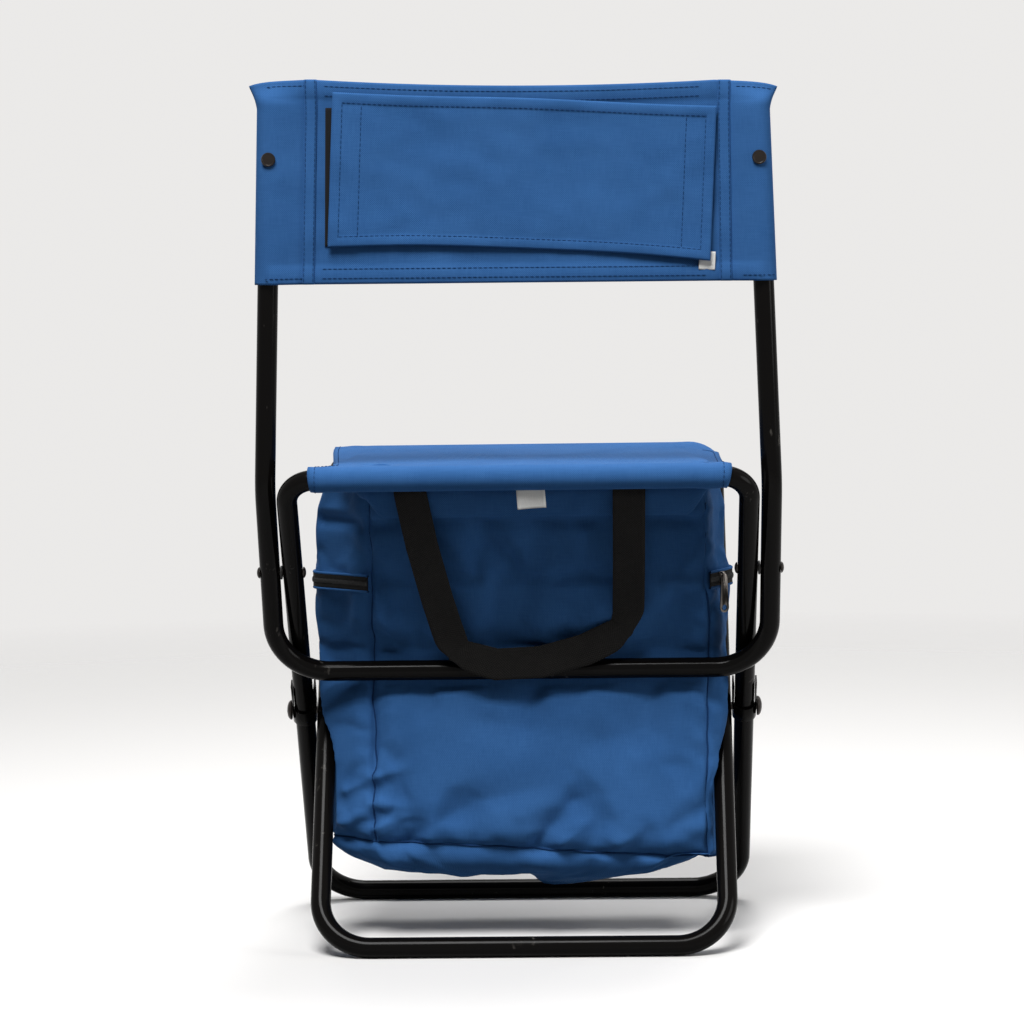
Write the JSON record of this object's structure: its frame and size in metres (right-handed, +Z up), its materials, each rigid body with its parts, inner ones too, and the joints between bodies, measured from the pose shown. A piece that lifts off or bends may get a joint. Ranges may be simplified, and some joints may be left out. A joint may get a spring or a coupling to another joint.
{
  "type": "folding cooler stool",
  "caption": "Folding tube-frame stool with a fabric sling seat, a hinged fabric backrest and a zipped cooler bag hung under the seat.",
  "frame": {"origin": "centre of the footprint on the floor, under the leg crossing", "axes": "+Z up, +Y the way the sitter faces, +X to the sitter's right"},
  "size_m": [0.4144, 0.2972, 0.678],
  "materials": {
    "painted_steel": "gloss black stoved paint on bent steel tube",
    "dark_rivet": "dark brown-black coated steel",
    "zinc_steel": "zinc plated steel pin, hidden",
    "black_plastic": "black moulded plastic",
    "blue_fabric": "blue coated polyester weave",
    "black_webbing": "black ribbed polypropylene webbing and tape",
    "white_tag": "plain white woven tag",
    "foil_foam": "thin foam with a silver film face",
    "gunmetal": "dark zip hardware"
  },
  "bodies": {
    "outer_frame": {"outer_leg_tube": "painted_steel", "outer_tube_joiner": "zinc_steel", "stop_saddle_left": "painted_steel", "stop_saddle_right": "painted_steel", "leg_pivot_rivet_left": "dark_rivet", "leg_pivot_rivet_right": "dark_rivet", "backrest_rivet_left": "dark_rivet", "backrest_rivet_right": "dark_rivet", "backrest_spacer_left": "black_plastic", "backrest_spacer_right": "black_plastic", "seat_cover": "blue_fabric", "seat_tag": "white_tag", "carry_handle": "black_webbing"},
    "inner_frame": {"inner_leg_tube": "painted_steel", "inner_tube_joiner": "zinc_steel"},
    "bag": {"bag_shell": "blue_fabric", "zip_tape": "black_webbing", "bag_liner": "foil_foam", "lid_pad": "foil_foam"},
    "zip_slider": {"zip_slider": "gunmetal"},
    "zip_pull": {"zip_pull": "gunmetal"},
    "backrest": {"backrest_tube": "painted_steel", "upright_plug_left": "black_plastic", "upright_plug_right": "black_plastic", "backrest_cover": "blue_fabric", "sleeve_stud_left": "dark_rivet", "sleeve_stud_right": "dark_rivet", "display_panel": "blue_fabric", "loop_strip_left": "black_webbing", "loop_strip_right": "black_webbing", "hook_strip_left": "black_webbing", "hook_strip_right": "black_webbing", "panel_tag": "white_tag"}
  },
  "joints": [
    {"name": "leg_fold", "type": "hinge", "parent": "outer_frame", "child": "inner_frame", "pos_m": [0, 0, 0.17955], "axis": [1, 0, 0], "range_deg": [0, 64], "deforming": ["seat_cover", "bag_shell", "zip_tape", "bag_liner", "lid_pad", "carry_handle"]},
    {"name": "bag_follow", "type": "hinge", "parent": "outer_frame", "child": "bag", "pos_m": [0, 0, 0.17955], "axis": [1, 0, 0], "range_deg": [0, 32]},
    {"name": "backrest_fold", "type": "hinge", "parent": "outer_frame", "child": "backrest", "pos_m": [0, -0.08461, 0.3], "axis": [-1, 0, 0], "range_deg": [0, 72], "deforming": ["carry_handle"]},
    {"name": "zip_slide", "type": "slide", "parent": "bag", "child": "zip_slider", "axis": [0.4958, 0.8684, 0], "range_m": [0, 0.02]},
    {"name": "pull_swing", "type": "hinge", "parent": "zip_slider", "child": "zip_pull", "pos_m": [0.15647, -0.05589, 0.289], "axis": [0.8684, -0.4958, 0], "range_deg": [-80, 80]}
  ],
  "couplings": [
    {"joint": "bag_follow", "follows": "leg_fold", "ratio": 0.5}
  ]
}
